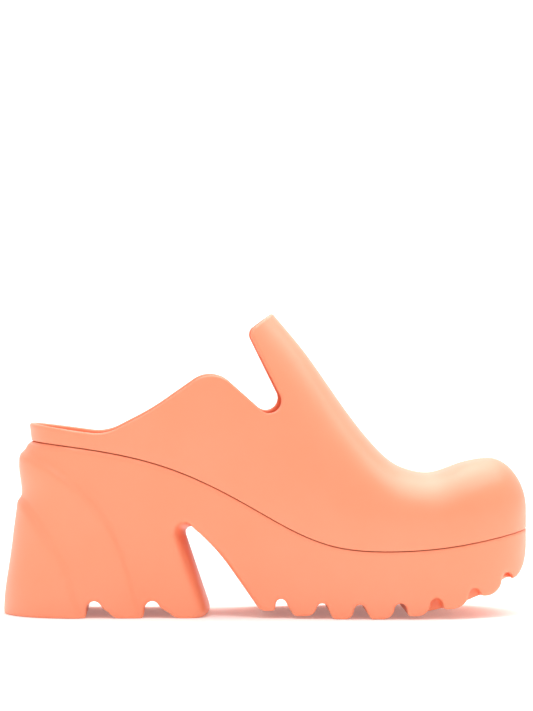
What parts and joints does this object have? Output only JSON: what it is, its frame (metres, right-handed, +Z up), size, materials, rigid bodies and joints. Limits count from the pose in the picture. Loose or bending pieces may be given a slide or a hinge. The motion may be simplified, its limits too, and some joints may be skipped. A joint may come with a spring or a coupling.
{
  "type": "platform mule",
  "caption": "Moulded-rubber platform mule: round toe, raised tongue with side slots, low heel strip, flared block heel and lugged platform sole.",
  "frame": {"origin": "on the floor, in the middle of the shoe's box", "axes": "+X towards the toe, +Z up, -Y towards the outer side of this right shoe"},
  "size_m": [0.2732, 0.0986, 0.1567],
  "materials": {
    "moulded_rubber_sole": "satin moulded, coral",
    "moulded_rubber_upper": "satin moulded, coral",
    "moulded_footbed": "matte moulded, coral"
  },
  "bodies": {
    "root": {"sole": "moulded_rubber_sole", "upper": "moulded_rubber_upper", "insole": "moulded_footbed"}
  },
  "joints": []
}
